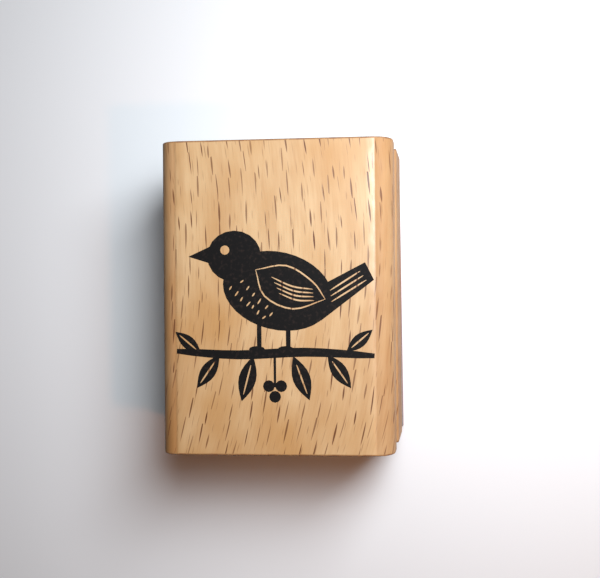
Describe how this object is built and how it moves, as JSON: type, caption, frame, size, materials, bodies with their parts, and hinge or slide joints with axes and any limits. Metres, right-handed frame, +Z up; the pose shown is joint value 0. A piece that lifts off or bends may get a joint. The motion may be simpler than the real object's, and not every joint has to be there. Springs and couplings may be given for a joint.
{
  "type": "rubber stamp",
  "caption": "Wood-mounted rubber stamp: grooved beech block, foam cushion and moulded rubber die with a raised drawing of a plain bird, the same drawing printed on top.",
  "frame": {"origin": "middle of the printing face, on the surface that the stamp stands on", "axes": "+Z up towards the hand, +Y along the wood's grain towards the top of the drawing, +X to the right of the drawing"},
  "size_m": [0.038, 0.0506, 0.026],
  "materials": {
    "beech": "sanded, thin satin sealer",
    "adhesive_film": "translucent acrylic adhesive",
    "grey_foam": "fine closed-cell foam, cut edges",
    "red_rubber": "moulded, matt"
  },
  "bodies": {
    "block": {"wood_block": "beech", "mount_adhesive": "adhesive_film", "foam_cushion": "grey_foam"},
    "die": {"die_adhesive": "adhesive_film", "rubber_die": "red_rubber"}
  },
  "joints": [
    {"name": "cushion_press", "type": "slide", "parent": "block", "child": "die", "axis": [0, 0, 1], "range_m": [0, 0.0006], "stiffness_N_per_m": 50000, "deforming": ["foam_cushion"]}
  ]
}
